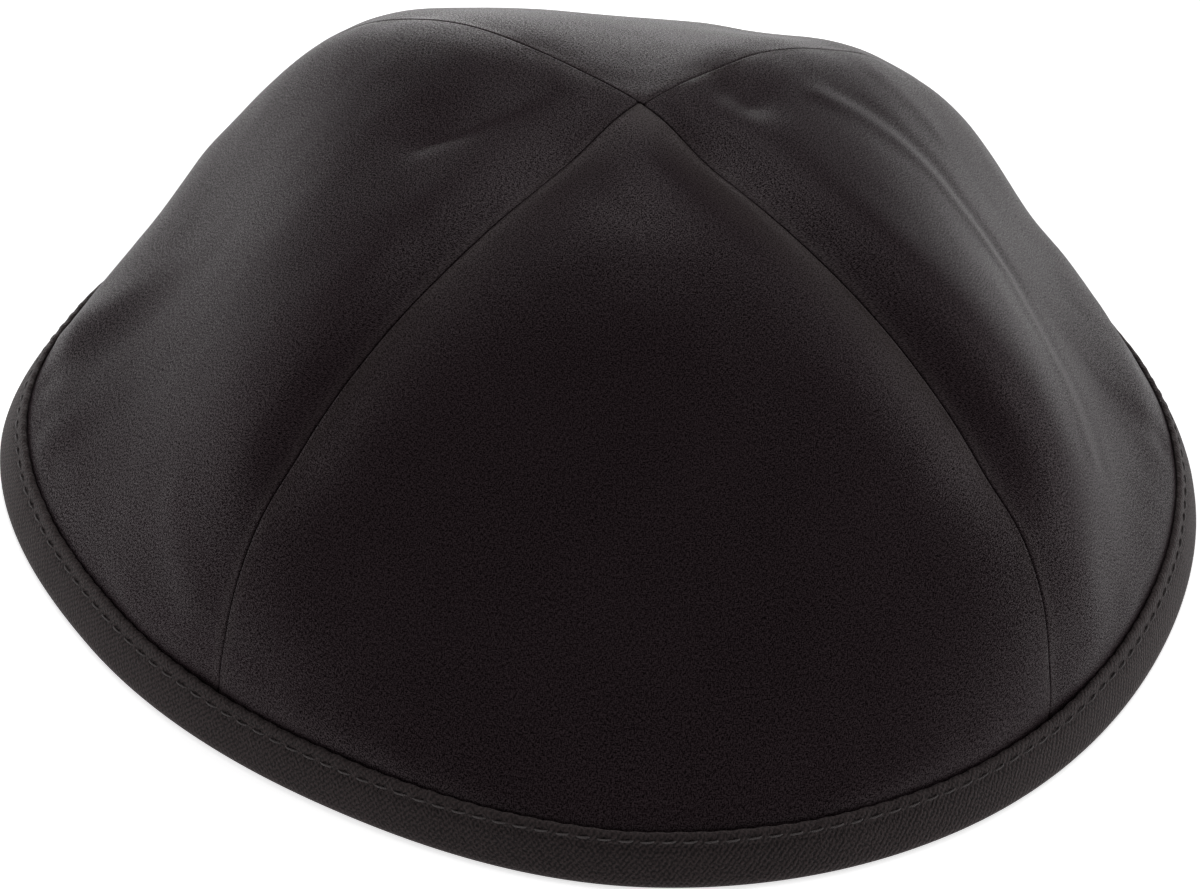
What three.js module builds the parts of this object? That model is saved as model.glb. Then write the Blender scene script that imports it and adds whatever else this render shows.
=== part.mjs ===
import * as THREE from "three";

// A four-panel skullcap of black cloth, edged with a folded tape.
// Millimetres, +Z up. It stands on its rim, with the middle of its box on the origin, and the
// front panel faces -Y. Azimuths are in degrees from the front, and 90 is towards +X.

// Sizes of the whole cap.
const RIM_RADIUS = 85; // outside of the tape, where it stands
const CAP_HEIGHT = 61.5; // top of the crown above the surface
const RIM_LEAN = 20; // degrees by which the wall leans in from upright at the rim

// Cloth, tape and the clearances between them.
const CLOTH = 1.2; // wall of a crown panel
const TAPE = 1; // wall of the folded tape
const TAPE_HEIGHT = 6.8; // top edge of the tape above the surface
const TAPE_ROUND = 0.5; // bevel on the tape's fold and edges
const SEAM_GAP = 0.3; // between two panels
const SLOT_GAP = 0.3; // between a panel and the tape round it

// How finely the surfaces are divided.
const PANEL_ROWS = 24; // from the top down to the tape, and columns where a panel is widest
const FOLD_STEPS = 5; // straight pieces in the line of a fold
const TIP = 0.006; // where a panel starts, as a share of the way from the top to the rim

// Seams of the crown and the panel that follows each, going round by growing azimuth.
// bow is how far the seam swings towards a growing azimuth halfway down, in degrees.
const SEAMS = [
  { azimuth: 42.4, bow: 4.6, next: "right_panel" },
  { azimuth: 135.5, bow: 0, next: "back_panel" },
  { azimuth: 225, bow: 0, next: "left_panel" },
  { azimuth: 316, bow: -3, next: "front_panel" },
];

// Corners of the crown's squared sections, and how far each turns off the seam halfway down.
const CORNERS = [
  { azimuth: 45, turn: 9 },
  { azimuth: 135, turn: 0 },
  { azimuth: 225, turn: 0 },
  { azimuth: 315, turn: -5.5 },
];

// Sections of the crown, evenly spaced from the top (first row) to the tape's edge (last row).
// square is the exponent of the section's outline, where 2 is round and more is squarer, and
// full is the share by which its corners stand out from the plain round profile.
const SECTIONS = [
  { square: 4, full: 0 },
  { square: 5, full: 0.01 },
  { square: 5.5, full: 0.025 },
  { square: 5.5, full: 0.045 },
  { square: 5, full: 0.05 },
  { square: 3.5, full: 0.035 },
  { square: 2, full: 0 },
];

// Plan outline of the rim, as shares of its radius, every 30 degrees from the front.
const RIM_PLAN = [
  { share: 1.012 },
  { share: 1.018 },
  { share: 0.998 },
  { share: 0.985 },
  { share: 0.935 },
  { share: 0.985 },
  { share: 1 },
  { share: 0.98 },
  { share: 0.945 },
  { share: 1.03 },
  { share: 0.997 },
  { share: 0.977 },
];

// Folds and dents, each along a line that turns evenly between two places. along is the share
// of the way from the top to the rim. reach is how far it spreads and rise how far it stands
// out, or sinks in, as shares of the cap's height.
const FOLDS = [
  { name: "back left crest", azimuth: [222, 224], along: [0.38, 0.42], reach: 0.45, rise: 0.04 },
  { name: "back left valley", azimuth: [212, 208], along: [0.38, 0.5], reach: 0.13, rise: -0.007 },
  { name: "back right valley", azimuth: [150, 152], along: [0.4, 0.5], reach: 0.12, rise: -0.012 },
  { name: "left top hollow", azimuth: [266, 268], along: [0.2, 0.3], reach: 0.2, rise: -0.022 },
  { name: "left seam slope", azimuth: [298, 300], along: [0.2, 0.34], reach: 0.12, rise: -0.008 },
  { name: "left fullness", azimuth: [268, 288], along: [0.42, 0.6], reach: 0.35, rise: 0.025 },
  { name: "left seam valley", azimuth: [315, 313.5], along: [0.14, 0.62], reach: 0.12, rise: -0.024 },
  { name: "left overhang", azimuth: [236, 262], along: [0.84, 0.86], reach: 0.16, rise: 0.02 },
  { name: "left low overhang", azimuth: [264, 296], along: [0.88, 0.86], reach: 0.14, rise: 0.012 },
  { name: "front fullness", azimuth: [0, 0], along: [0.32, 0.36], reach: 0.28, rise: 0.03 },
  { name: "right seam valley", azimuth: [45, 47.5], along: [0.14, 0.62], reach: 0.13, rise: -0.034 },
  { name: "right top dent", azimuth: [116, 106], along: [0.155, 0.18], reach: 0.075, rise: -0.014 },
  { name: "right fullness", azimuth: [84, 70], along: [0.42, 0.6], reach: 0.35, rise: 0.02 },
  { name: "right low fold", azimuth: [51, 51], along: [0.78, 0.88], reach: 0.1, rise: 0.008 },
  { name: "right hollow", azimuth: [141, 136], along: [0.44, 0.54], reach: 0.22, rise: -0.014 },
  { name: "right shoulder", azimuth: [127, 120], along: [0.74, 0.78], reach: 0.2, rise: 0.008 },
  { name: "right overhang", azimuth: [88, 112], along: [0.88, 0.88], reach: 0.13, rise: 0.02 },
];

// Where the folds die away above the rim, as shares of the way from the rim to the top.
const FOLDS_END = 0.06;
const FOLDS_FULL = 0.11;

const DEG = Math.PI / 180;
const TURN = 360 * DEG;
const LEAN = RIM_LEAN * DEG;
const TAPE_OUT = (SLOT_GAP + TAPE) / Math.cos(LEAN);
const WALL_RADIUS = RIM_RADIUS - TAPE_OUT; // outside of the cloth, carried on down to the surface
const CROWN_LOW = TAPE + SLOT_GAP; // lower edge of the panels, in the tape's fold

// The crown's profile is part of an ellipse whose middle lies below the surface, so that the
// wall still leans at the rim.
const SINK = (CAP_HEIGHT * Math.tan(LEAN)) / (WALL_RADIUS - CAP_HEIGHT * Math.tan(LEAN));
const ELLIPSE_HIGH = CAP_HEIGHT / (1 - SINK);
const ELLIPSE_WIDE = WALL_RADIUS / Math.sqrt(1 - SINK ** 2);
const ELLIPSE_MIDDLE = -SINK * ELLIPSE_HIGH;
const LAST_ANGLE = Math.acos((CROWN_LOW - ELLIPSE_MIDDLE) / ELLIPSE_HIGH);
const CROWN_LENGTH = Math.hypot(WALL_RADIUS, CAP_HEIGHT) * 1.05; // from the top down to the rim

function alongAt(height) {
  return Math.acos((height - ELLIPSE_MIDDLE) / ELLIPSE_HIGH) / LAST_ANGLE;
}

const TAPE_ALONG = alongAt(TAPE_HEIGHT);

// A smooth curve through one column of a table.
function column(rows, name) {
  return new THREE.SplineCurve(rows.map((row, i) => new THREE.Vector2(i, row[name])));
}

const squareCurve = column(SECTIONS, "square");
const fullCurve = column(SECTIONS, "full");
const planCurve = column([RIM_PLAN.at(-1), ...RIM_PLAN, RIM_PLAN[0], RIM_PLAN[1]], "share");

// How far the rim stands out at an azimuth, as a share of its radius.
function planShare(azimuth) {
  const turns = azimuth / TURN;
  const row = (turns - Math.floor(turns)) * RIM_PLAN.length + 1;
  return planCurve.getPoint(row / (RIM_PLAN.length + 2)).y;
}

// The share of the way from the top to the tape's edge, and 1 inside the tape.
function aboveTape(along) {
  return Math.min(1, along / TAPE_ALONG);
}

// 0 at the top and at the tape, and 1 halfway.
function midway(along) {
  return Math.sin(Math.PI * aboveTape(along));
}

function seamAzimuth(seam, along) {
  return (seam.azimuth + seam.bow * midway(along)) * DEG;
}

// Outline of a section: 1 at its corners on the plain round profile, and less between them.
function outline(azimuth, along) {
  const n = squareCurve.getPoint(aboveTape(along)).y;
  const full = fullCurve.getPoint(aboveTape(along)).y;
  let turned = azimuth;
  for (const corner of CORNERS) {
    const near = Math.max(0, Math.cos(azimuth - corner.azimuth * DEG)) ** 4;
    turned -= corner.turn * DEG * midway(along) * near;
  }
  const sum = Math.abs(Math.cos(turned)) ** n + Math.abs(Math.sin(turned)) ** n;
  return (1 + full) * (sum / 2 ** (1 - n / 2)) ** (-1 / n);
}

// A place on the crown laid out flat, for distances to folds.
function flat(azimuth, along) {
  const r = along * CROWN_LENGTH;
  return new THREE.Vector3(r * Math.sin(azimuth), -r * Math.cos(azimuth), 0);
}

function foldLines(fold) {
  const { lerp } = THREE.MathUtils;
  const at = (share) =>
    flat(lerp(...fold.azimuth, share) * DEG, lerp(...fold.along, share));
  const lines = [];
  for (let step = 0; step < FOLD_STEPS; step++) {
    lines.push(new THREE.Line3(at(step / FOLD_STEPS), at((step + 1) / FOLD_STEPS)));
  }
  return lines;
}

const folds = FOLDS.map((fold) => ({
  lines: foldLines(fold),
  reach: fold.reach * CAP_HEIGHT,
  rise: fold.rise * CAP_HEIGHT,
}));

function foldRise(azimuth, along) {
  const place = flat(azimuth, along);
  const nearest = new THREE.Vector3();
  const calm = THREE.MathUtils.smoothstep(1 - along, FOLDS_END, FOLDS_FULL);
  return folds.reduce((sum, fold) => {
    const distances = fold.lines.map((line) =>
      line.closestPointToPoint(place, true, nearest).distanceTo(place));
    const away = Math.min(...distances) / fold.reach;
    return sum + fold.rise * Math.exp(-away * away) * calm;
  }, 0);
}

// A point of the crown's outer face.
function crownPoint(azimuth, along) {
  const angle = along * LAST_ANGLE;
  const plan = 1 + (planShare(azimuth) - 1) * along;
  const r = ELLIPSE_WIDE * Math.sin(angle) * outline(azimuth, along) * plan;
  const z = ELLIPSE_MIDDLE + ELLIPSE_HIGH * Math.cos(angle);
  const out = r / ELLIPSE_WIDE ** 2;
  const up = (z - ELLIPSE_MIDDLE) / ELLIPSE_HIGH ** 2;
  const push = foldRise(azimuth, along) / Math.hypot(out, up);
  const reach = r + push * out;
  return new THREE.Vector3(reach * Math.sin(azimuth), -reach * Math.cos(azimuth), z + push * up);
}

// The outward normal of that face.
function crownNormal(azimuth, along) {
  const step = 1e-3;
  const across = crownPoint(azimuth + step, along).sub(crownPoint(azimuth - step, along));
  const down = crownPoint(azimuth, along + step).sub(crownPoint(azimuth, along - step));
  return down.cross(across).normalize();
}

// The matching point of the inner face. Beside a seam the cloth's edge lies in the seam's
// own plane, and inside the tape it is level, so that it fits the slot.
function innerPoint(azimuth, along, seamDistance) {
  const point = crownPoint(azimuth, along);
  const normal = crownNormal(azimuth, along);
  const side = new THREE.Vector3(Math.cos(azimuth), Math.sin(azimuth), 0);
  const radial = new THREE.Vector3(Math.sin(azimuth), -Math.cos(azimuth), 0);
  const square = 1 - THREE.MathUtils.smoothstep(seamDistance, 0, 3 * CLOTH);
  const way = normal.clone().addScaledVector(side, -square * normal.dot(side)).normalize();
  const level = 1 - THREE.MathUtils.smoothstep(point.z, TAPE_HEIGHT, 2 * TAPE_HEIGHT);
  way.lerp(radial, level).normalize();
  return point.addScaledVector(way, -CLOTH / way.dot(normal));
}

// The rows of a panel's grid. Above the tape each row has one more column than the last.
function panelRows() {
  const rows = [];
  for (let row = 0; row <= PANEL_ROWS; row++) {
    rows.push({ along: TIP + ((TAPE_ALONG - TIP) * row) / PANEL_ROWS, columns: row });
  }
  rows.push({ along: alongAt(TAPE_HEIGHT / 2), columns: PANEL_ROWS });
  rows.push({ along: alongAt(CROWN_LOW), columns: PANEL_ROWS });
  return rows;
}

// The azimuths of the two seams beside a panel, the first one lower.
function panelSides(index, along) {
  const first = seamAzimuth(SEAMS[index], along);
  const last = seamAzimuth(SEAMS[(index + 1) % SEAMS.length], along);
  return [first, last < first ? last + TURN : last];
}

// One closed body from an outer and an inner sheet with the same grid.
function panelGeometry(index) {
  const rows = panelRows();
  const outer = [];
  const inner = [];
  for (const row of rows) {
    row.start = outer.length;
    const [first, last] = panelSides(index, row.along);
    const edge = crownPoint(first, row.along);
    const r = Math.hypot(edge.x, edge.y);
    const inset = SEAM_GAP / 2 / r;
    for (let i = 0; i <= row.columns; i++) {
      const share = row.columns ? i / row.columns : 0.5;
      const azimuth = THREE.MathUtils.lerp(first + inset, last - inset, share);
      const seamDistance = Math.min(azimuth - first, last - azimuth) * r - SEAM_GAP / 2;
      outer.push(crownPoint(azimuth, row.along));
      inner.push(innerPoint(azimuth, row.along, seamDistance));
    }
  }
  const under = outer.length;
  const faces = [];
  const wall = (a, b) => faces.push(a, under + a, b, b, under + a, under + b);
  for (let k = 0; k + 1 < rows.length; k++) {
    const [upper, lower] = [rows[k], rows[k + 1]];
    for (let i = 0; i <= upper.columns; i++) {
      const [a, b] = [upper.start + i, lower.start + i];
      if (i < lower.columns) faces.push(a, b, b + 1, under + a, under + b + 1, under + b);
      if (i < upper.columns) faces.push(a, b + 1, a + 1, under + a, under + a + 1, under + b + 1);
    }
    wall(upper.start, lower.start);
    wall(lower.start + lower.columns, upper.start + upper.columns);
  }
  const low = rows.at(-1);
  for (let i = 0; i < low.columns; i++) wall(low.start + i, low.start + i + 1);
  return bodyOf([...outer, ...inner], faces);
}

function bodyOf(points, faces) {
  const geometry = new THREE.BufferGeometry().setFromPoints(points);
  geometry.setIndex(faces);
  geometry.computeVertexNormals();
  return geometry;
}

// The tape's section: offsets are from the cloth's outer face, outward, and heights are above
// the surface. It runs up the outside, down into the slot, up again and down the inside.
function tapeSection() {
  const top = TAPE_HEIGHT;
  const out = SLOT_GAP + TAPE;
  const slot = -CLOTH - SLOT_GAP;
  const back = slot - TAPE;
  const round = TAPE_ROUND;
  return [
    { offset: out - round, height: 0 },
    { offset: out, height: round },
    { offset: out, height: top / 2 },
    { offset: out, height: top - round },
    { offset: out - round, height: top },
    { offset: SLOT_GAP, height: top },
    { offset: SLOT_GAP, height: top / 2 },
    { offset: SLOT_GAP, height: TAPE },
    { offset: slot, height: TAPE },
    { offset: slot, height: top / 2 },
    { offset: slot, height: top },
    { offset: back + round, height: top },
    { offset: back, height: top - round },
    { offset: back, height: top / 2 },
    { offset: back, height: round },
    { offset: back + round, height: 0 },
  ];
}

function tapeGeometry() {
  const section = tapeSection();
  const points = [];
  for (let index = 0; index < SEAMS.length; index++) {
    const [first, last] = panelSides(index, 1);
    for (let i = 0; i < PANEL_ROWS; i++) {
      const azimuth = THREE.MathUtils.lerp(first, last, i / PANEL_ROWS);
      for (const { offset, height } of section) {
        const wall = crownPoint(azimuth, alongAt(height));
        const r = Math.hypot(wall.x, wall.y) + offset / Math.cos(LEAN);
        points.push(new THREE.Vector3(r * Math.sin(azimuth), -r * Math.cos(azimuth), height));
      }
    }
  }
  const n = section.length;
  const faces = [];
  for (let here = 0; here < points.length; here += n) {
    const next = (here + n) % points.length;
    for (let i = 0; i < n; i++) {
      const j = (i + 1) % n;
      faces.push(here + i, next + i, next + j, here + i, next + j, here + j);
    }
  }
  return bodyOf(points, faces);
}

const cloth = new THREE.MeshStandardMaterial({ color: 0x1d1a1b, roughness: 0.75, metalness: 0 });
const tape = new THREE.MeshStandardMaterial({ color: 0x252322, roughness: 0.9, metalness: 0 });

const cap = new THREE.Group();
SEAMS.forEach((seam, index) => {
  const panel = new THREE.Mesh(panelGeometry(index), cloth);
  panel.name = seam.next;
  cap.add(panel);
});
const binding = new THREE.Mesh(tapeGeometry(), tape);
binding.name = "rim_binding";
cap.add(binding);

const middle = new THREE.Box3().setFromObject(cap).getCenter(new THREE.Vector3());
cap.position.set(-middle.x, -middle.y, 0);

export default cap;
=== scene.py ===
import math

import bpy
import numpy as np
from bpy.props import FloatProperty, FloatVectorProperty, IntProperty, PointerProperty
from mathutils import Matrix, Vector, noise


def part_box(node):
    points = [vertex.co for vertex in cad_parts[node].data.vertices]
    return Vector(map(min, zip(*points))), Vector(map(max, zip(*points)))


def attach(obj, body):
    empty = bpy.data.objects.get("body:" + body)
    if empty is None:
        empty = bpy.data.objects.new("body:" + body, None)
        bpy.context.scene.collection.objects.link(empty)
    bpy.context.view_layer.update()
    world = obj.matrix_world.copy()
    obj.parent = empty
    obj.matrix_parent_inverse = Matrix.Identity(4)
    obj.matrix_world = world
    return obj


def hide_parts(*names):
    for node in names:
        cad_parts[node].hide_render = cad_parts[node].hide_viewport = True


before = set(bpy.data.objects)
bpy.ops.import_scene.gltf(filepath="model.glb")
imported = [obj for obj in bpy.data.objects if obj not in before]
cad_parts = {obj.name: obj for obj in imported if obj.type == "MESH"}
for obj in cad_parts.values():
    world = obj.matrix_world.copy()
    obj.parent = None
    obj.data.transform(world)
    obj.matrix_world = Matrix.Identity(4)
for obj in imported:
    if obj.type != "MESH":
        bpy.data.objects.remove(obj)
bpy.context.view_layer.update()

bl_info = {
    "name": "Four-Panel Skullcap",
    "version": (1, 0, 0),
    "blender": (4, 5, 0),
    "location": "View3D > Sidebar > Skullcap",
    "description": "Builds a skullcap of four sewn cloth panels with a stitched tape round its rim",
    "category": "Add Mesh",
}

# The crown's shape in millimetres and degrees. Azimuths are from the front, and 90 is towards +X.
RIM_RADIUS = 85
CAP_HEIGHT = 61.5
RIM_LEAN = math.radians(20)
TAPE_OUT = 1.3
TAPE_HEIGHT = 6.8
CROWN_LOW = 1.3
MM = 0.001

# Each seam, how far it swings halfway down, and the panel that follows it.
SEAMS = [
    {"azimuth": 42.4, "bow": 4.6, "next": "right_panel"},
    {"azimuth": 135.5, "bow": 0, "next": "back_panel"},
    {"azimuth": 225, "bow": 0, "next": "left_panel"},
    {"azimuth": 316, "bow": -3, "next": "front_panel"},
]

# How each panel's edge lies at the seam before it and after it. roll is the radius at which the
# edge turns down, raise how far the folded allowance puffs it up beside the seam, and sink how
# far the panel rounds off towards the seam, in millimetres. The last is a painted highlight: how
# much lighter the cloth's colour is made over the allowance, from 0 to 1.
EDGES = {
    "right_panel": {"roll": (0.26, 0.16), "raise": (0.0, 0.06), "sink": (0.8, 0.15), "seam_highlight": (0.0, 0.1)},
    "back_panel": {"roll": (0.16, 0.16), "raise": (0.05, 0.05), "sink": (0.15, 0.15), "seam_highlight": (0.1, 0.1)},
    "left_panel": {"roll": (0.16, 0.26), "raise": (0.06, 0.0), "sink": (0.15, 0.7), "seam_highlight": (0.1, 0.0)},
    "front_panel": {"roll": (0.26, 0.26), "raise": (0.08, 0.1), "sink": (0.5, 0.6), "seam_highlight": (0.55, 1.0)},
}

CORNERS = [
    {"azimuth": 45, "turn": 9},
    {"azimuth": 135, "turn": 0},
    {"azimuth": 225, "turn": 0},
    {"azimuth": 315, "turn": -5.5},
]

# The sections from the top to the tape: how square each is, and how full its corners are.
SECTIONS = [
    {"square": 4, "full": 0},
    {"square": 5, "full": 0.01},
    {"square": 5.5, "full": 0.025},
    {"square": 5.5, "full": 0.045},
    {"square": 5, "full": 0.05},
    {"square": 3.5, "full": 0.035},
    {"square": 2, "full": 0},
]

# The rim's plan outline every 30 degrees, as shares of its radius.
RIM_PLAN = [1.012, 1.018, 0.998, 0.985, 0.935, 0.985, 1, 0.98, 0.945, 1.03, 0.997, 0.977]

# Folds and dents, each along a line through two places or more. along is the share of the way from
# the top to the rim, and reach and rise are shares of the cap's height.
FOLDS = [
    {"name": "back left crest", "azimuth": (222, 224), "along": (0.38, 0.42), "reach": 0.45, "rise": 0.04},
    {"name": "back left valley", "azimuth": (212, 208), "along": (0.38, 0.5), "reach": 0.13, "rise": -0.007},
    {"name": "back right valley", "azimuth": (150, 152), "along": (0.4, 0.5), "reach": 0.12, "rise": -0.012},
    {"name": "left top hollow", "azimuth": (266, 268), "along": (0.2, 0.3), "reach": 0.2, "rise": -0.022},
    {
        "name": "left top fold", "azimuth": (250, 262, 270, 271), "along": (0.14, 0.2, 0.27, 0.33),
        "reach": 0.046, "rise": -0.0065,
    },
    {"name": "left seam slope", "azimuth": (298, 300), "along": (0.2, 0.34), "reach": 0.12, "rise": -0.008},
    {"name": "left fullness", "azimuth": (268, 288), "along": (0.42, 0.6), "reach": 0.35, "rise": 0.025},
    {
        "name": "left seam valley", "azimuth": (315, 313.5), "along": (0.14, 0.62),
        "reach": 0.12, "rise": -0.024,
    },
    {"name": "left overhang", "azimuth": (236, 262), "along": (0.84, 0.86), "reach": 0.16, "rise": 0.02},
    {
        "name": "left low overhang", "azimuth": (264, 296), "along": (0.88, 0.86),
        "reach": 0.14, "rise": 0.012,
    },
    {"name": "front fullness", "azimuth": (0, 0), "along": (0.32, 0.36), "reach": 0.28, "rise": 0.03},
    {"name": "front top crease", "azimuth": (-12, 4), "along": (0.13, 0.18), "reach": 0.028, "rise": -0.002},
    {
        "name": "front low crease", "azimuth": (336, 358), "along": (0.19, 0.25),
        "reach": 0.032, "rise": -0.002,
    },
    {
        "name": "right seam valley", "azimuth": (45, 47.5), "along": (0.14, 0.62),
        "reach": 0.13, "rise": -0.034,
    },
    {
        "name": "right top dent", "azimuth": (116, 106), "along": (0.155, 0.18),
        "reach": 0.075, "rise": -0.014,
    },
    {"name": "right fullness", "azimuth": (84, 70), "along": (0.42, 0.6), "reach": 0.35, "rise": 0.02},
    {
        "name": "right ridge", "azimuth": (114, 101, 86, 73, 64), "along": (0.3, 0.48, 0.63, 0.68, 0.74),
        "reach": 0.036, "rise": 0.0032,
    },
    {
        "name": "right ridge foot", "azimuth": (118, 105, 89.5, 76, 66),
        "along": (0.34, 0.515, 0.665, 0.72, 0.78), "reach": 0.04, "rise": -0.0038,
    },
    {
        "name": "right far crease", "azimuth": (127, 116), "along": (0.46, 0.56),
        "reach": 0.04, "rise": 0.0022,
    },
    {"name": "right low fold", "azimuth": (51, 51), "along": (0.78, 0.88), "reach": 0.1, "rise": 0.008},
    {"name": "right hollow", "azimuth": (141, 136), "along": (0.44, 0.54), "reach": 0.22, "rise": -0.014},
    {"name": "right shoulder", "azimuth": (127, 120), "along": (0.74, 0.78), "reach": 0.2, "rise": 0.008},
    {"name": "left low crease", "azimuth": (302, 310), "along": (0.78, 0.85), "reach": 0.06, "rise": 0.005},
    {"name": "right overhang", "azimuth": (88, 112), "along": (0.88, 0.88), "reach": 0.13, "rise": 0.02},
]

# Puckers where the tape's sewing gathers the crown's edge. width and rise are in millimetres.
PUCKERS = [
    {"azimuth": 262, "width": 3.0, "rise": 0.5},
    {"azimuth": 269, "width": 2.4, "rise": -0.5},
    {"azimuth": 278, "width": 2.6, "rise": 0.45},
    {"azimuth": 85, "width": 2.4, "rise": -0.5},
    {"azimuth": 92, "width": 3.0, "rise": 0.4},
    {"azimuth": 59, "width": 3.4, "rise": 0.3},
    {"azimuth": 301, "width": 3.4, "rise": 0.25},
]

# The tape's section from the top of its outer edge round the fold to the top of its inner
# edge and back, as offsets outward from the cloth's face and heights, in millimetres.
TAPE_SECTION = [
    (-0.18, 6.3), (-0.12, 6.58), (0.05, 6.76), (0.3, 6.8), (0.5, 6.72), (0.63, 6.52),
    (0.7, 6.2), (0.72, 5.9), (0.68, 5.62), (0.66, 5.4), (0.72, 5.15), (0.84, 4.8),
    (0.96, 4.2), (1.06, 3.5), (1.14, 2.8), (1.2, 2.1), (1.22, 1.4), (1.16, 0.8),
    (0.98, 0.38), (0.7, 0.12), (0.3, 0.01), (-0.5, 0.0), (-1.3, 0.01), (-1.75, 0.14),
    (-2.08, 0.42), (-2.26, 0.85), (-2.3, 1.6), (-2.24, 2.6), (-2.16, 3.6), (-2.08, 4.6),
    (-2.0, 5.2), (-1.94, 5.5), (-2.0, 5.8), (-2.02, 6.2), (-1.96, 6.5), (-1.8, 6.72),
    (-1.58, 6.76), (-1.4, 6.6), (-1.34, 6.2), (-1.32, 4.0), (-1.3, 1.25), (-0.2, 1.2),
    (-0.2, 4.0),
]

# How far below the tape's top edge its stitches run, every 30 degrees from the front, in millimetres.
STITCH_DOWN = [0.8, 1.05, 1.6, 1.5, 1.3, 1.2, 1.2, 1.2, 1.3, 1.4, 1.6, 1.3]

WALL_RADIUS = RIM_RADIUS - TAPE_OUT / math.cos(RIM_LEAN)
SINK = CAP_HEIGHT * math.tan(RIM_LEAN) / (WALL_RADIUS - CAP_HEIGHT * math.tan(RIM_LEAN))
ELLIPSE_HIGH = CAP_HEIGHT / (1 - SINK)
ELLIPSE_WIDE = WALL_RADIUS / math.sqrt(1 - SINK**2)
ELLIPSE_MIDDLE = -SINK * ELLIPSE_HIGH
LAST_ANGLE = math.acos((CROWN_LOW - ELLIPSE_MIDDLE) / ELLIPSE_HIGH)
CROWN_LENGTH = math.hypot(WALL_RADIUS, CAP_HEIGHT) * 1.05
FOLDS_END = 0.06
FOLDS_FULL = 0.11
FOLD_STEPS = 5

# How far from the top the side panels and the other two begin, a seam's open width, and how much
# thicker the wall is over the turned-in allowances, in millimetres.
SIDE_TIP = 0.62
END_TIP = 0.12
SEAM_OPEN = 0.06
TURNED_IN = 0.4

# How far the sewing moves the cloth, in millimetres: its uneven pull beside a seam, its unevenness
# and fullness above the tape, how far the tape presses it in, and the wide and fine unevenness of
# the rest of a panel.
SEAM_TUG = 0.16
RIM_UNEVEN = 0.3
RIM_FULLNESS = 0.22
TAPE_PRESS = 0.3
PANEL_UNEVEN = 0.2
PANEL_RIPPLE = 0.05

# How far each stitch pulls the tape in and nicks its edge, in millimetres, and each row of
# stitches: its offset from the cloth's face, and 1 where it faces out or -1 where it faces in.
STITCH_PULL = 0.09
EDGE_NICK = 0.07
STITCH_ROWS = ((0.67, 1.0), (-1.95, -1.0))


class CrownSettings(bpy.types.PropertyGroup):
    """The crown's four cloth panels."""

    thickness: FloatProperty(
        name="Cloth thickness", description="Wall of one layer of the crown's cloth",
        default=0.8 * MM, unit="LENGTH", precision=4,
    )
    allowance: FloatProperty(
        name="Seam allowance", description="Width of the cloth turned in beside a seam",
        default=6.5 * MM, unit="LENGTH", precision=4,
    )
    rows: IntProperty(name="Rows", description="Rows of faces from the top to the tape", default=150)
    columns: IntProperty(name="Columns", description="Columns of faces across a panel", default=160)
    weave: FloatProperty(
        name="Twill pitch", description="Distance between two lines of the twill",
        default=0.42 * MM, unit="LENGTH", precision=5,
    )
    colour: FloatVectorProperty(
        name="Colour", description="Dyed colour of the crown's cloth",
        default=(0.019, 0.0126, 0.0146), subtype="COLOR",
    )


class TapeSettings(bpy.types.PropertyGroup):
    """The tape folded over the rim, and its stitches."""

    columns: IntProperty(name="Columns", description="Steps of the tape round the rim", default=900)
    rib: FloatProperty(
        name="Rib pitch", description="Distance between two ribs of the tape's weave",
        default=0.6 * MM, unit="LENGTH", precision=5,
    )
    stitch: FloatProperty(
        name="Stitch pitch", description="Distance from one stitch to the next",
        default=2.8 * MM, unit="LENGTH", precision=4,
    )
    thread: FloatProperty(
        name="Thread", description="Diameter of the sewing thread", default=0.26 * MM, unit="LENGTH",
        precision=5,
    )
    colour: FloatVectorProperty(
        name="Colour", description="Dyed colour of the tape",
        default=(0.0152, 0.0108, 0.0108), subtype="COLOR",
    )
    thread_colour: FloatVectorProperty(
        name="Thread colour", description="Colour of the sewing thread",
        default=(0.04, 0.031, 0.031), subtype="COLOR",
    )


class StageSettings(bpy.types.PropertyGroup):
    """The floor, the lights and the camera."""

    elevation: FloatProperty(
        name="Camera elevation", description="Angle of the camera above the floor",
        default=math.radians(41.2), subtype="ANGLE",
    )
    azimuth: FloatProperty(
        name="Camera azimuth", description="Angle of the camera round the cap, from the front",
        default=math.radians(-5.9), subtype="ANGLE",
    )
    roll: FloatProperty(
        name="Camera roll", description="Turn of the camera about its own line of sight",
        default=math.radians(4.7), subtype="ANGLE",
    )
    distance: FloatProperty(
        name="Camera distance", description="From the camera to the middle of the rim",
        default=0.6, unit="LENGTH",
    )
    lens: FloatProperty(
        name="Focal length", description="Focal length of the camera, in millimetres", default=125.28,
    )
    shift_x: FloatProperty(
        name="Shift across", description="Sideways shift of the picture, as a share of its width",
        default=-13 / 1200,
    )
    shift_y: FloatProperty(
        name="Shift up", description="Upward shift of the picture, as a share of its width",
        default=4 / 1200,
    )
    floor_colour: FloatVectorProperty(
        name="Floor colour", description="Colour of the plain floor", default=(0.9, 0.9, 0.9),
        subtype="COLOR",
    )
    floor_glow: FloatProperty(
        name="Floor glow", description="Strength of the light from within the pale floor", default=0.68,
    )
    back_light: FloatProperty(
        name="Back light", description="Power of the long low light behind the cap",
        default=10, unit="POWER",
    )
    left_light: FloatProperty(
        name="Left light", description="Power of the soft light at the cap's left", default=14,
        unit="POWER",
    )
    right_light: FloatProperty(
        name="Right light", description="Power of the soft light at the cap's right", default=15.5,
        unit="POWER",
    )
    top_light: FloatProperty(
        name="Top light", description="Power of the soft light overhead", default=12, unit="POWER",
    )
    sky: FloatProperty(name="Room light", description="Strength of the even light all round", default=0.1)


def smoothstep(x, low, high):
    share = np.clip((x - low) / (high - low), 0, 1)
    return share * share * (3 - 2 * share)


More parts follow.
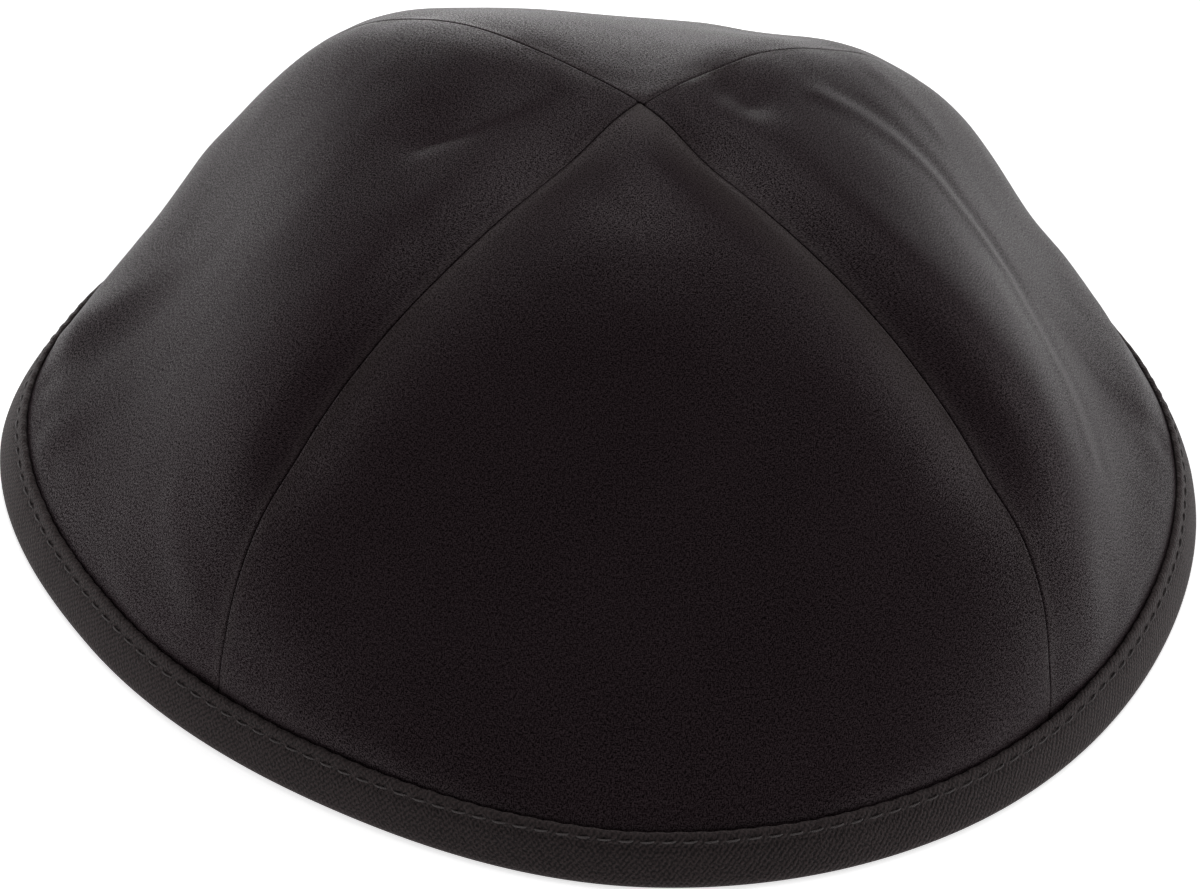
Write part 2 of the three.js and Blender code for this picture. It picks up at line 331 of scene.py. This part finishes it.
def smooth_curve(values, at, closed=False):
    """A smooth curve through evenly spaced values, read at places counted in values."""
    values = np.asarray(values, float)
    count = len(values)
    at = np.mod(at, count) if closed else np.clip(at, 0, count - 1)
    low = np.minimum(np.floor(at).astype(int), count - 1)
    t = at - low
    places = [low - 1, low, low + 1, low + 2]
    p0, p1, p2, p3 = (
        values[place % count] if closed else values[np.clip(place, 0, count - 1)] for place in places
    )
    v0, v1 = (p2 - p0) / 2, (p3 - p1) / 2
    return (2 * p1 - 2 * p2 + v0 + v1) * t**3 + (-3 * p1 + 3 * p2 - 2 * v0 - v1) * t**2 + v0 * t + p1


def along_at(height):
    return np.arccos((height - ELLIPSE_MIDDLE) / ELLIPSE_HIGH) / LAST_ANGLE


TAPE_ALONG = float(along_at(TAPE_HEIGHT))


def above_tape(along):
    return np.minimum(1, along / TAPE_ALONG)


def midway(along):
    return np.sin(np.pi * above_tape(along))


def seam_azimuth(seam, along):
    return np.radians(seam["azimuth"] + seam["bow"] * midway(along))


def outline(azimuth, along):
    row = above_tape(along) * (len(SECTIONS) - 1)
    n = smooth_curve([section["square"] for section in SECTIONS], row)
    full = smooth_curve([section["full"] for section in SECTIONS], row)
    turned = azimuth
    for corner in CORNERS:
        near = np.maximum(0, np.cos(azimuth - math.radians(corner["azimuth"]))) ** 4
        turned = turned - math.radians(corner["turn"]) * midway(along) * near
    total = np.abs(np.cos(turned)) ** n + np.abs(np.sin(turned)) ** n
    return (1 + full) * (total / 2 ** (1 - n / 2)) ** (-1 / n)


def laid_flat(azimuth, along):
    r = along * CROWN_LENGTH
    return np.stack([r * np.sin(azimuth), -r * np.cos(azimuth)], -1)


def evenly(places):
    """The places of a fold with even steps between each two."""
    steps = np.arange(FOLD_STEPS * (len(places) - 1) + 1) / FOLD_STEPS
    return np.interp(steps, np.arange(len(places)), places)


def fold_rise(azimuth, along):
    """How far the folds and dents push the cloth, in millimetres."""
    place = laid_flat(azimuth, along)
    calm = smoothstep(1 - along, FOLDS_END, FOLDS_FULL)
    total = np.zeros(place.shape[:-1])
    for fold in FOLDS:
        line = laid_flat(np.radians(evenly(fold["azimuth"])), evenly(fold["along"]))
        away = np.full(total.shape, np.inf)
        for a, b in zip(line[:-1], line[1:]):
            share = np.clip(((place - a) @ (b - a)) / ((b - a) @ (b - a)), 0, 1)
            away = np.minimum(away, np.linalg.norm(place - a - share[..., None] * (b - a), axis=-1))
        total += fold["rise"] * CAP_HEIGHT * np.exp(-((away / (fold["reach"] * CAP_HEIGHT)) ** 2)) * calm
    return total


def crown_point(azimuth, along):
    """A place on the outer face of the crown, as the solids have it."""
    azimuth, along = np.broadcast_arrays(np.asarray(azimuth, float), np.asarray(along, float))
    angle = along * LAST_ANGLE
    plan = smooth_curve(RIM_PLAN, azimuth / (2 * np.pi) * len(RIM_PLAN), closed=True)
    r = ELLIPSE_WIDE * np.sin(angle) * outline(azimuth, along) * (1 + (plan - 1) * along)
    z = ELLIPSE_MIDDLE + ELLIPSE_HIGH * np.cos(angle)
    out, up = r / ELLIPSE_WIDE**2, (z - ELLIPSE_MIDDLE) / ELLIPSE_HIGH**2
    push = fold_rise(azimuth, along) / np.hypot(out, up)
    reach = r + push * out
    return np.stack([reach * np.sin(azimuth), -reach * np.cos(azimuth), z + push * up], -1)


def unit(vectors):
    return vectors / np.linalg.norm(vectors, axis=-1, keepdims=True)


def crown_normal(azimuth, along):
    step = 1e-3
    across = crown_point(azimuth + step, along) - crown_point(azimuth - step, along)
    down = crown_point(azimuth, along + step) - crown_point(azimuth, along - step)
    return unit(np.cross(down, across))


def uneven(points, size, seed):
    """Soft unevenness from -1 to 1, of about the given size in millimetres."""
    flat = np.asarray(points, float).reshape(-1, 3) / size + seed
    return np.array([noise.noise(Vector(p)) for p in flat]).reshape(np.shape(points)[:-1])


def rim_offset():
    """From the middle of the crown's own circle to the middle of the cap's box, in millimetres."""
    azimuth = np.radians(np.arange(0, 360, 0.25))
    foot = crown_point(azimuth, along_at(0.5))
    r = np.hypot(foot[:, 0], foot[:, 1]) + TAPE_OUT / math.cos(RIM_LEAN)
    edge = np.stack([r * np.sin(azimuth), -r * np.cos(azimuth)], -1)
    low, high = (np.array(corner)[:2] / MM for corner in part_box("rim_binding"))
    return np.append((low + high) / 2 - (edge.min(0) + edge.max(0)) / 2, 0)


MIDDLE = rim_offset()


def mesh_object(name, points, faces, grain=None, wear_and_highlight=None, grain_faces=None):
    """A smooth mesh from points in millimetres, with the cloth's grain as its UVs."""
    mesh = bpy.data.meshes.new(name)
    mesh.from_pydata(((points + MIDDLE) * MM).tolist(), [], faces)
    if grain is not None:
        corners = np.concatenate([np.asarray(face) for face in (grain_faces or faces)])
        layer = mesh.uv_layers.new(name="grain")
        layer.data.foreach_set("uv", grain[corners].astype(np.float32).ravel())
    if wear_and_highlight is not None:
        mesh.attributes.new("wear_and_highlight", "FLOAT", "POINT").data.foreach_set("value", wear_and_highlight.astype(np.float32))
    mesh.validate()
    mesh.shade_smooth()
    made = bpy.data.objects.new(name, mesh)
    bpy.context.scene.collection.objects.link(made)
    return made


def grid_faces(rows, columns, start=0, flip=False, closed=False):
    """The faces of a grid whose points run along its rows."""
    here = start + np.arange(rows)[:, None] * columns + np.arange(columns)[None, :]
    next_column = np.roll(here, -1, axis=1)
    last = columns if closed else columns - 1
    quads = np.stack(
        [here[:-1, :last], here[1:, :last], next_column[1:, :last], next_column[:-1, :last]], -1
    ).reshape(-1, 4)
    return (quads[:, ::-1] if flip else quads).tolist()


class Value:
    """A socket of a material, on which arithmetic adds Math nodes."""

    def __init__(self, finish, socket):
        self.finish = finish
        self.socket = socket

    def math(self, operation, *parts):
        return self.finish.node("ShaderNodeMath", {"operation": operation}, dict(enumerate(parts)))

    def __add__(self, other):
        return self.math("ADD", self, other)

    def __radd__(self, other):
        return self.math("ADD", other, self)

    def __sub__(self, other):
        return self.math("SUBTRACT", self, other)

    def __rsub__(self, other):
        return self.math("SUBTRACT", other, self)

    def __mul__(self, other):
        return self.math("MULTIPLY", self, other)

    def __rmul__(self, other):
        return self.math("MULTIPLY", other, self)

    def sine(self):
        return self.math("SINE", self)

    def at_most(self, other):
        return self.math("MINIMUM", self, other)

    def at_least(self, other):
        return self.math("MAXIMUM", self, other)


class Finish:
    """A material that is made of nodes."""

    def __init__(self, name):
        self.material = bpy.data.materials.new(name)
        self.material.use_nodes = True
        self.material.node_tree.nodes.clear()

    def node(self, kind, settings=None, sockets=None, out=0):
        made = self.material.node_tree.nodes.new(kind)
        for name, value in (settings or {}).items():
            setattr(made, name, value)
        for key, value in (sockets or {}).items():
            if isinstance(value, Value):
                self.material.node_tree.links.new(value.socket, made.inputs[key])
            else:
                made.inputs[key].default_value = value
        return Value(self, made.outputs[out]) if made.outputs else None

    def mix(self, share, first, second):
        """A colour between two."""
        colours = {
            key: colour if isinstance(colour, Value) else (*colour[:3], 1)
            for key, colour in {6: first, 7: second}.items()
        }
        return self.node("ShaderNodeMix", {"data_type": "RGBA"}, {0: share, **colours}, out=2)

    def grain(self):
        """The place on the cloth in millimetres, across and down its grain."""
        place = self.node("ShaderNodeUVMap", {"uv_map": "grain"})
        across = self.node("ShaderNodeSeparateXYZ", {}, {0: place})
        down = self.node("ShaderNodeSeparateXYZ", {}, {0: place}, out=1)
        return place, across, down

    def stretch(self, place, across, down):
        """The place counted across and down in other units, so that a pattern on it runs long."""
        return self.node("ShaderNodeVectorMath", {"operation": "MULTIPLY"}, {0: place, 1: (across, down, 1)})

    def blotches(self, place, scale, detail=2):
        return self.node("ShaderNodeTexNoise", {}, {"Vector": place, "Scale": scale, "Detail": detail})

    def close(self, sockets, share=None, other=None):
        """Ends the material with one surface, or with a share of another that differs a little."""
        surface = self.node("ShaderNodeBsdfPrincipled", {}, sockets)
        if other:
            second = self.node("ShaderNodeBsdfPrincipled", {}, {**sockets, **other})
            surface = self.node("ShaderNodeMixShader", {}, {0: share, 1: surface, 2: second})
        self.node("ShaderNodeOutputMaterial", {}, {"Surface": surface})
        return self.material


def tones(colour, *shares):
    """The same colour darker or lighter, once for each share."""
    return [[part * share for part in colour] for share in shares]


def crown_cloth(settings):
    """Fine black twill with a soft sheen, a little lighter and smoother beside its seams, where a highlight
    is painted over the allowances.
    """
    finish = Finish("crown twill")
    place, across, down = finish.grain()
    turn = 2 * math.pi / (settings.weave / MM)
    wander = (finish.blotches(place, 0.8) - 0.5) * 7
    twill = ((across + down * 0.8) * turn + wander).sine()
    warp = finish.blotches(finish.stretch(place, 7.0, 2.6), 1.0, 1)
    weft = finish.blotches(finish.stretch(place, 2.6, 7.0), 1.0, 1)
    fluff = finish.blotches(place, 7, 1)
    soft = finish.blotches(place, 0.045, 3)
    worn_and_highlighted = finish.node("ShaderNodeAttribute", {"attribute_name": "wear_and_highlight"}, out=2)
    yarn = warp + weft + fluff * 1.2 - 1.6
    shade = (0.5 + yarn * 1.6 + twill * 0.1 + soft * 0.3 - 0.15).at_least(0).at_most(1)
    colour = finish.mix(shade, *tones(settings.colour, 0.2, 1.8))
    # Lighter colour where the wear attribute is high: a thin band along each seam edge, and a painted
    # highlight over the turned-in allowances.
    colour = finish.mix(worn_and_highlighted * 0.3, colour, (0.055, 0.046, 0.043))
    height = yarn * 2 + twill * 0.1
    weave = finish.node("ShaderNodeBump", {}, {"Height": height, "Strength": 0.35, "Distance": 0.05 * MM})
    rumple = finish.node(
        "ShaderNodeBump", {}, {"Height": soft, "Strength": 0.35, "Distance": 1.2 * MM, "Normal": weave}
    )
    return finish.close(
        {
            "Base Color": colour,
            "Roughness": 0.31 + soft * 0.1 - worn_and_highlighted * 0.03,
            "Specular IOR Level": 0.01,
            "Specular Tint": (1, 0.9, 0.92, 1),
            "Sheen Weight": 0.03,
            "Sheen Roughness": 0.35,
            "Sheen Tint": (0.9, 0.8, 0.82, 1),
            "Normal": rumple,
        },
        (0.4 + yarn * 3.6 + worn_and_highlighted * 0.3).at_least(0).at_most(1),
        {"Specular IOR Level": 0.27},
    )


def rim_cloth(settings):
    """Coarser ribbed tape, cut across the grain so that its ribs run aslant."""
    finish = Finish("rim tape")
    place, across, down = finish.grain()
    turn = 2 * math.pi / (settings.rib / MM)
    wander = (finish.blotches(place, 0.7) - 0.5) * 5
    rib = ((across * 0.74 + down * 0.67) * turn + wander).sine()
    cross = ((across * 0.67 - down * 0.74) * (turn * 1.15) + wander).sine()
    speck = finish.blotches(place, 3.2, 1)
    soft = finish.blotches(place, 0.12, 2)
    worn_and_highlighted = finish.node("ShaderNodeAttribute", {"attribute_name": "wear_and_highlight"}, out=2)
    yarn = rib * 0.26 + cross * 0.12 + (speck - 0.5) * 2.4
    shade = (0.5 + yarn * 1.4 + soft * 0.3 - 0.15).at_least(0).at_most(1)
    colour = finish.mix(shade, *tones(settings.colour, 0.15, 2.2))
    colour = finish.mix(worn_and_highlighted * 0.4, colour, *tones(settings.colour, 2.6))
    weave = finish.node("ShaderNodeBump", {}, {"Height": yarn, "Strength": 0.8, "Distance": 0.1 * MM})
    return finish.close(
        {
            "Base Color": colour,
            "Roughness": 0.6 + speck * 0.16 - worn_and_highlighted * 0.08,
            "Specular IOR Level": 0.25,
            "Specular Tint": (1, 0.9, 0.91, 1),
            "Sheen Weight": 0.08,
            "Sheen Roughness": 0.5,
            "Sheen Tint": (0.9, 0.82, 0.82, 1),
            "Normal": weave,
        }
    )


def sewing_thread(settings):
    """Twisted thread, a little glossier than the cloth."""
    finish = Finish("sewing thread")
    place, across, down = finish.grain()
    twist = (across * 26 + down * 6.28).sine()
    speck = finish.blotches(place, 6, 2)
    shade = (twist * 0.35 + speck).at_least(0).at_most(1)
    colour = finish.mix(shade, *tones(settings.thread_colour, 0.6, 1.5))
    bump = finish.node("ShaderNodeBump", {}, {"Height": twist, "Strength": 0.7, "Distance": 0.03 * MM})
    return finish.close(
        {
            "Base Color": colour,
            "Roughness": 0.45 + speck * 0.2,
            "Specular IOR Level": 0.5,
            "Sheen Weight": 0.1,
            "Normal": bump,
        }
    )


def from_seam(width, settings):
    """Distances from one seam across to the other, in millimetres, close together at both."""
    columns = settings.columns
    beside = columns * 3 // 20
    share = np.linspace(0, 1, beside + 1) ** 2
    reach = np.minimum(10, width / 3.2)
    left = share[None, :] * reach[:, None]
    middle = np.linspace(0, 1, columns - 2 * beside + 1)[1:-1]
    between = reach[:, None] + (width - 2 * reach)[:, None] * middle[None, :]
    return np.concatenate([left, between, width[:, None] - left[:, ::-1]], axis=1)


def seam_lines(index, along):
    """The azimuths of the seams on both sides of a panel. Two of the four stop beside the top."""
    lines = []
    for seam in (SEAMS[index], SEAMS[(index + 1) % len(SEAMS)]):
        azimuth = seam_azimuth(seam, along)
        if seam["next"] in ("back_panel", "front_panel"):
            azimuth = azimuth - np.arcsin(np.minimum(1, 0.45 / (along * CROWN_LENGTH)))
        lines.append(azimuth)
    first, last = lines
    return first, np.where(last < first, last + 2 * np.pi, last)


def panel_relief(name, place, azimuth, along, before, after, settings):
    """What the sewing does to a panel's outer face, in millimetres along its normal."""
    allowance = settings.allowance / MM
    total = np.zeros(azimuth.shape)
    length = along * CROWN_LENGTH
    for side, away in enumerate((before, after)):
        roll, puff, sink = (EDGES[name][key][side] for key in ("roll", "raise", "sink"))
        turned = np.clip(1 - away / roll, 0, 1)
        total -= roll * (1 - np.sqrt(np.maximum(0, 1 - turned**2)))
        fade = smoothstep(length, 3, 12) * (1 - 0.6 * smoothstep(along, 0.5, 0.75))
        total += puff * np.exp(-(((away - allowance * 0.6) / 2.4) ** 2)) * fade
        total -= sink * np.exp(-((away / 5.5) ** 2)) * fade
        tug = np.stack([length / 5.5, np.full(length.shape, 7.3 * side), azimuth * 0], -1)
        total += SEAM_TUG * uneven(tug, 1, 11 + side) * np.exp(-away / 3.5) * smoothstep(away, 0, 1)
    above = place[..., 2] - TAPE_HEIGHT
    near = np.exp(-np.maximum(above, 0) / 5)
    open_share = smoothstep(above, 0.2, 2.2)
    around = np.stack([np.cos(azimuth), np.sin(azimuth), azimuth * 0], -1) * WALL_RADIUS
    total += RIM_UNEVEN * uneven(around, 5.5, 3) * near * open_share
    for pucker in PUCKERS:
        turned = (azimuth - math.radians(pucker["azimuth"]) + np.pi) % (2 * np.pi) - np.pi
        spread = pucker["width"] * (1 + np.maximum(above, 0) / 9)
        shape = np.exp(-((turned * WALL_RADIUS / spread) ** 2))
        total += pucker["rise"] * shape * np.exp(-np.maximum(above, 0) / 9) * open_share
    total += RIM_FULLNESS * np.exp(-(((above - 3.2) / 2.4) ** 2))
    total -= TAPE_PRESS * (1 - smoothstep(above, -0.4, 1.6))
    calm = smoothstep(above, 2, 10)
    total += (PANEL_UNEVEN * uneven(place, 21, 5) + PANEL_RIPPLE * uneven(place, 6.5, 8)) * calm
    return total


class BuildPanels(bpy.types.Operator):
    """Builds the crown's four cloth panels, with their seams and turned-in edges"""

    bl_idname = "skullcap.build_panels"
    bl_label = "Build Panels"

    def execute(self, context):
        settings = context.scene.skullcap_crown
        cloth = crown_cloth(settings)
        for index, seam in enumerate(SEAMS):
            self.panel(index, seam["next"], settings, cloth)
        return {"FINISHED"}

    def panel(self, index, name, settings, cloth):
        thickness = settings.thickness / MM
        allowance = settings.allowance / MM
        side_panel = name in ("left_panel", "right_panel")
        tip = (SIDE_TIP if side_panel else END_TIP) / CROWN_LENGTH
        share = np.linspace(0, 1, settings.rows + 1)
        rows = tip + (TAPE_ALONG - tip) * (0.35 * share**2 + 0.65 * share)
        inside = along_at(TAPE_HEIGHT - (TAPE_HEIGHT - CROWN_LOW) * np.linspace(0.12, 1, 8))
        along_row = np.concatenate([rows, inside])
        first, last = seam_lines(index, along_row)
        middle = crown_point((first + last) / 2, along_row)
        edge = crown_point(first, along_row)
        r = (np.hypot(edge[:, 0], edge[:, 1]) + np.hypot(middle[:, 0], middle[:, 1])) / 2
        width = (last - first) * r
        away = from_seam(width, settings)
        before, after = away, width[:, None] - away
        azimuth = first[:, None] + (SEAM_OPEN / 2 + away * (1 - SEAM_OPEN / width[:, None])) / r[:, None]
        along = np.broadcast_to(along_row[:, None], azimuth.shape)
        place = crown_point(azimuth, along)
        normal = crown_normal(azimuth, along)
        relief = panel_relief(name, place, azimuth, along, before, after, settings)
        outer = place + normal * relief[..., None]
        seam_near = np.minimum(before, after)
        level = 1 - smoothstep(place[..., 2], TAPE_HEIGHT, 2 * TAPE_HEIGHT)
        square = 1 - smoothstep(seam_near, 0, 3.6)
        side = np.stack([np.cos(azimuth), np.sin(azimuth), azimuth * 0], -1)
        radial = np.stack([np.sin(azimuth), -np.cos(azimuth), azimuth * 0], -1)
        way = unit(normal - (square * (normal * side).sum(-1))[..., None] * side)
        way = unit(way + (radial - way) * level[..., None])
        turned_in = TURNED_IN * (1 - smoothstep(seam_near, allowance - 0.25, allowance + 0.15))
        depth = thickness + turned_in * (1 - level)
        wavy = 0.06 * uneven(place, 5, 23) * (1 - level)
        calm = relief * smoothstep(seam_near, 0.5, 2.5) * (1 - level)
        inner = place + way * ((calm + wavy - depth) / (way * normal).sum(-1))[..., None]
        count, across = azimuth.shape
        steps = np.linalg.norm(np.diff(outer, axis=1), axis=-1)
        u = np.concatenate([np.zeros((count, 1)), np.cumsum(steps, axis=1)], axis=1)
        u = u - u[:, [across // 2]]
        v = along * CROWN_LENGTH
        grain = np.stack([u, v], -1).reshape(-1, 2)
        # The seam edges are made a little lighter, and over the allowances a painted highlight lightens the
        # colour; the crown's finish reads both through the wear attribute.
        lightened = 0.4 * np.exp(-(((seam_near - 0.75) / 0.6) ** 2)) * smoothstep(v, 2, 10)
        for seam_highlight, beside in zip(EDGES[name]["seam_highlight"], (before, after)):
            highlight_band = seam_highlight * (1 - smoothstep(beside, 0.5, 1.3 * allowance))
            lightened += highlight_band * (1 - smoothstep(along, 0.4, 0.8))
        wear_and_highlight = np.concatenate([lightened.ravel(), np.zeros(lightened.size)])
        faces = grid_faces(count, across)
        total = count * across
        faces += grid_faces(count, across, start=total, flip=True)
        ring = [k * across for k in range(count)]
        ring += [(count - 1) * across + k for k in range(1, across)]
        ring += [k * across + across - 1 for k in range(count - 2, -1, -1)]
        ring += [k for k in range(across - 2, 0, -1)]
        for a, b in zip(ring, ring[1:] + ring[:1]):
            faces.append([b, a, total + a, total + b])
        points = np.concatenate([outer.reshape(-1, 3), inner.reshape(-1, 3)])
        made = mesh_object(f"{name}_cloth", points, faces, np.concatenate([grain, grain]), wear_and_highlight)
        made.data.materials.append(cloth)
        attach(made, "root")
        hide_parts(name)


def wall_at(azimuth, height):
    """The distance of the cloth's outer face from the middle, inside the tape."""
    wall = crown_point(azimuth, along_at(np.clip(height, 0, TAPE_HEIGHT)))
    return np.hypot(wall[..., 0], wall[..., 1])


def tape_point(azimuth, offset, height):
    """A place on the tape, with the small waves that its sewing leaves."""
    around = np.stack([np.cos(azimuth), np.sin(azimuth), azimuth * 0], -1) * WALL_RADIUS
    wave = uneven(around, 7, 31)
    low = smoothstep(height, 0.3, 3.0)
    high = smoothstep(height, 3.5, 6.4)
    r = wall_at(azimuth, height) + (offset + 0.1 * wave * low) / math.cos(RIM_LEAN)
    lift = 0.16 * uneven(around, 10, 37) * high
    return np.stack([r * np.sin(azimuth), -r * np.cos(azimuth), height + lift], -1)


def stitch_height(azimuth):
    """The height of the row of stitches round the rim, in millimetres."""
    return TAPE_HEIGHT - smooth_curve(STITCH_DOWN, azimuth / (2 * np.pi) * len(STITCH_DOWN), closed=True)


class BuildTape(bpy.types.Operator):
    """Builds the tape folded over the crown's lower edge"""

    bl_idname = "skullcap.build_tape"
    bl_label = "Build Tape"

    def execute(self, context):
        settings = context.scene.skullcap_tape
        offsets, heights = np.array(TAPE_SECTION).T
        azimuth = np.linspace(0, 2 * np.pi, settings.columns + 1)
        grid = (azimuth[:, None], offsets[None, :], heights[None, :])
        azimuths, offsets_all, heights_all = np.broadcast_arrays(*grid)
        pitch = settings.stitch / MM
        turns = round(2 * np.pi * WALL_RADIUS / pitch)
        row = stitch_height(azimuths)
        pull = (0.6 + np.cos(azimuths * turns)) * np.exp(-(((heights_all - row) / 0.6) ** 2))
        outside = np.where(offsets_all > -0.3, 1.0, -1.0)
        offsets_all = offsets_all - STITCH_PULL * pull * outside
        nicks = EDGE_NICK * np.cos(azimuths * turns) * smoothstep(heights_all, 6.0, 6.7)
        points = tape_point(azimuths, offsets_all, heights_all - nicks)[:-1]
        count, around = azimuths.shape
        here = np.arange(count)[:, None] * around + np.arange(around)[None, :]
        grain_faces = np.stack(
            [here[:-1], np.roll(here, -1, axis=1)[:-1], np.roll(here, -1, axis=1)[1:], here[1:]], -1
        ).reshape(-1, 4)
        faces = grain_faces % ((count - 1) * around)
        section = np.hypot(np.diff(offsets), np.diff(heights))
        across = np.concatenate([[0], np.cumsum(section)])
        grain = np.stack(
            [(azimuths - np.pi) * WALL_RADIUS, np.broadcast_to(across[None, :], azimuths.shape)], -1
        ).reshape(-1, 2)
        folded = np.exp(-((heights / 0.9) ** 2)) + 0.6 * np.exp(-(((heights - 6.7) / 0.3) ** 2))
        wear_and_highlight = np.broadcast_to(folded[None, :], azimuths[:-1].shape).ravel()
        made = mesh_object(
            "rim_tape", points.reshape(-1, 3), faces.tolist(), grain, wear_and_highlight, grain_faces.tolist()
        )
        made.data.materials.append(rim_cloth(settings))
        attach(made, "root")
        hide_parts("rim_binding")
        return {"FINISHED"}


class BuildStitches(bpy.types.Operator):
    """Sews the tape on, with one row of stitches outside and one inside"""

    bl_idname = "skullcap.build_stitches"
    bl_label = "Build Stitches"

    def execute(self, context):
        settings = context.scene.skullcap_tape
        pitch = settings.stitch / MM
        count = round(2 * np.pi * WALL_RADIUS / pitch)
        radius = settings.thread / MM / 2
        rings, sides = 8, 6
        points, faces, grain = [], [], []
        for row, (offset, outward) in enumerate(STITCH_ROWS):
            for k in range(count):
                wander = noise.noise(Vector((k * 0.37, row * 9.1, 0.5)))
                middle = 2 * np.pi * (k + 0.04 * wander) / count
                half = 0.38 * 2 * np.pi / count
                share = np.linspace(-1, 1, rings)
                azimuth = middle + half * share
                height = stitch_height(azimuth) + 0.06 * wander + 0.07 * share * outward
                stand = offset + outward * radius * (0.95 - 1.9 * np.abs(share) ** 3)
                line = tape_point(azimuth, stand, height)
                spread = unit(np.stack([np.sin(azimuth), -np.cos(azimuth), azimuth * 0], -1))
                thick = radius * (1 - 0.45 * np.abs(share) ** 4)
                start = len(points) * rings * sides
                turn = np.linspace(0, 2 * np.pi, sides, endpoint=False)
                ring = (
                    line[:, None, :]
                    + spread[:, None, :] * (np.cos(turn)[None, :] * thick[:, None])[..., None]
                    + np.array([0, 0, 1.0]) * (np.sin(turn)[None, :] * thick[:, None])[..., None]
                )
                points.append(ring.reshape(-1, 3))
                faces += grid_faces(rings, sides, start=start, closed=True)
                faces.append([start + i for i in range(sides)])
                faces.append([start + (rings - 1) * sides + i for i in reversed(range(sides))])
                place = np.stack(
                    [
                        np.broadcast_to((share * pitch * 0.4)[:, None], (rings, sides)),
                        np.broadcast_to((turn / (2 * np.pi))[None, :], (rings, sides)),
                    ],
                    -1,
                )
                grain.append(place.reshape(-1, 2))
        made = mesh_object("rim_stitches", np.concatenate(points), faces, np.concatenate(grain))
        made.data.materials.append(sewing_thread(settings))
        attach(made, "root")
        return {"FINISHED"}


class BuildStage(bpy.types.Operator):
    """Lays the floor, hangs the lights and places the camera"""

    bl_idname = "skullcap.build_stage"
    bl_label = "Build Stage"

    def execute(self, context):
        settings = context.scene.skullcap_stage
        self.floor(context, settings)
        self.lights(context, settings)
        self.camera(context, settings)
        return {"FINISHED"}

    def floor(self, context, settings):
        mesh = bpy.data.meshes.new("floor")
        wide = 3.0
        mesh.from_pydata(
            [(-wide, -wide, 0), (wide, -wide, 0), (wide, wide, 0), (-wide, wide, 0)], [], [(0, 1, 2, 3)]
        )
        finish = Finish("pale floor")
        mesh.materials.append(
            finish.close(
                {
                    "Base Color": (*settings.floor_colour, 1),
                    "Roughness": 0.9,
                    "Specular IOR Level": 0.2,
                    "Emission Color": (1, 1, 1, 1),
                    "Emission Strength": settings.floor_glow,
                }
            )
        )
        floor = bpy.data.objects.new("floor", mesh)
        context.scene.collection.objects.link(floor)

    def lights(self, context, settings):
        self.area(context, "back light", (-0.08, 2.0, 0.12), (0, 0, 0.08), 1.1, 0.22, settings.back_light)
        self.area(context, "left light", (-2.0, 0.2, 0.75), (0, 0, 0.03), 1.7, 1.3, settings.left_light)
        self.area(context, "right light", (2.0, 0.1, 0.75), (0, 0, 0.03), 1.5, 1.3, settings.right_light)
        self.area(context, "top light", (0.12, 0.78, 1.5), (0, 0, 0), 1.2, 0.95, settings.top_light)
        world = bpy.data.worlds.new("room")
        world.use_nodes = True
        backdrop = world.node_tree.nodes["Background"]
        backdrop.inputs["Color"].default_value = (1, 1, 1, 1)
        backdrop.inputs["Strength"].default_value = settings.sky
        context.scene.world = world
        context.scene.view_settings.view_transform = "Standard"

    def area(self, context, name, place, aim, wide, high, power):
        light = bpy.data.lights.new(name, "AREA")
        light.shape = "RECTANGLE"
        light.size, light.size_y, light.energy = wide, high, power
        lamp = bpy.data.objects.new(name, light)
        lamp.location = place
        lamp.rotation_euler = (Vector(aim) - Vector(place)).to_track_quat("-Z", "Y").to_euler()
        context.scene.collection.objects.link(lamp)

    def camera(self, context, settings):
        e, a, roll = settings.elevation, settings.azimuth, settings.roll
        back = Vector((math.sin(a) * math.cos(e), -math.cos(a) * math.cos(e), math.sin(e)))
        right = Vector((math.cos(a), math.sin(a), 0))
        up = back.cross(right)
        x_axis = right * math.cos(roll) + up * math.sin(roll)
        y_axis = up * math.cos(roll) - right * math.sin(roll)
        lens = bpy.data.cameras.new("camera")
        lens.lens = settings.lens
        lens.sensor_width = 36
        lens.shift_x, lens.shift_y = settings.shift_x, settings.shift_y
        camera = bpy.data.objects.new("camera", lens)
        turn = Matrix((x_axis, y_axis, back)).transposed().to_4x4()
        aim = Vector((MIDDLE * MM).tolist())
        camera.matrix_world = Matrix.Translation(aim + back * settings.distance) @ turn
        context.scene.collection.objects.link(camera)
        context.scene.camera = camera


class SkullcapPanel(bpy.types.Panel):
    """The buttons that build the skullcap"""

    bl_idname = "VIEW3D_PT_skullcap"
    bl_label = "Skullcap"
    bl_space_type = "VIEW_3D"
    bl_region_type = "UI"
    bl_category = "Skullcap"

    def draw(self, context):
        for operator in OPERATORS:
            self.layout.operator(operator.bl_idname)
        for name in SETTINGS:
            group = getattr(context.scene, name)
            box = self.layout.box()
            for field in group.__annotations__:
                box.prop(group, field)


OPERATORS = (BuildPanels, BuildStitches, BuildTape, BuildStage)
SETTINGS = {
    "skullcap_crown": CrownSettings,
    "skullcap_tape": TapeSettings,
    "skullcap_stage": StageSettings,
}


def register():
    for group in (*SETTINGS.values(), *OPERATORS, SkullcapPanel):
        bpy.utils.register_class(group)
    for name, group in SETTINGS.items():
        setattr(bpy.types.Scene, name, PointerProperty(type=group))


def unregister():
    for name in SETTINGS:
        delattr(bpy.types.Scene, name)
    for group in (SkullcapPanel, *reversed(OPERATORS), *SETTINGS.values()):
        bpy.utils.unregister_class(group)


def main():
    register()
    bpy.ops.skullcap.build_panels()
    bpy.ops.skullcap.build_stitches()
    bpy.ops.skullcap.build_tape()
    bpy.ops.skullcap.build_stage()


if __name__ == "__main__":
    main()
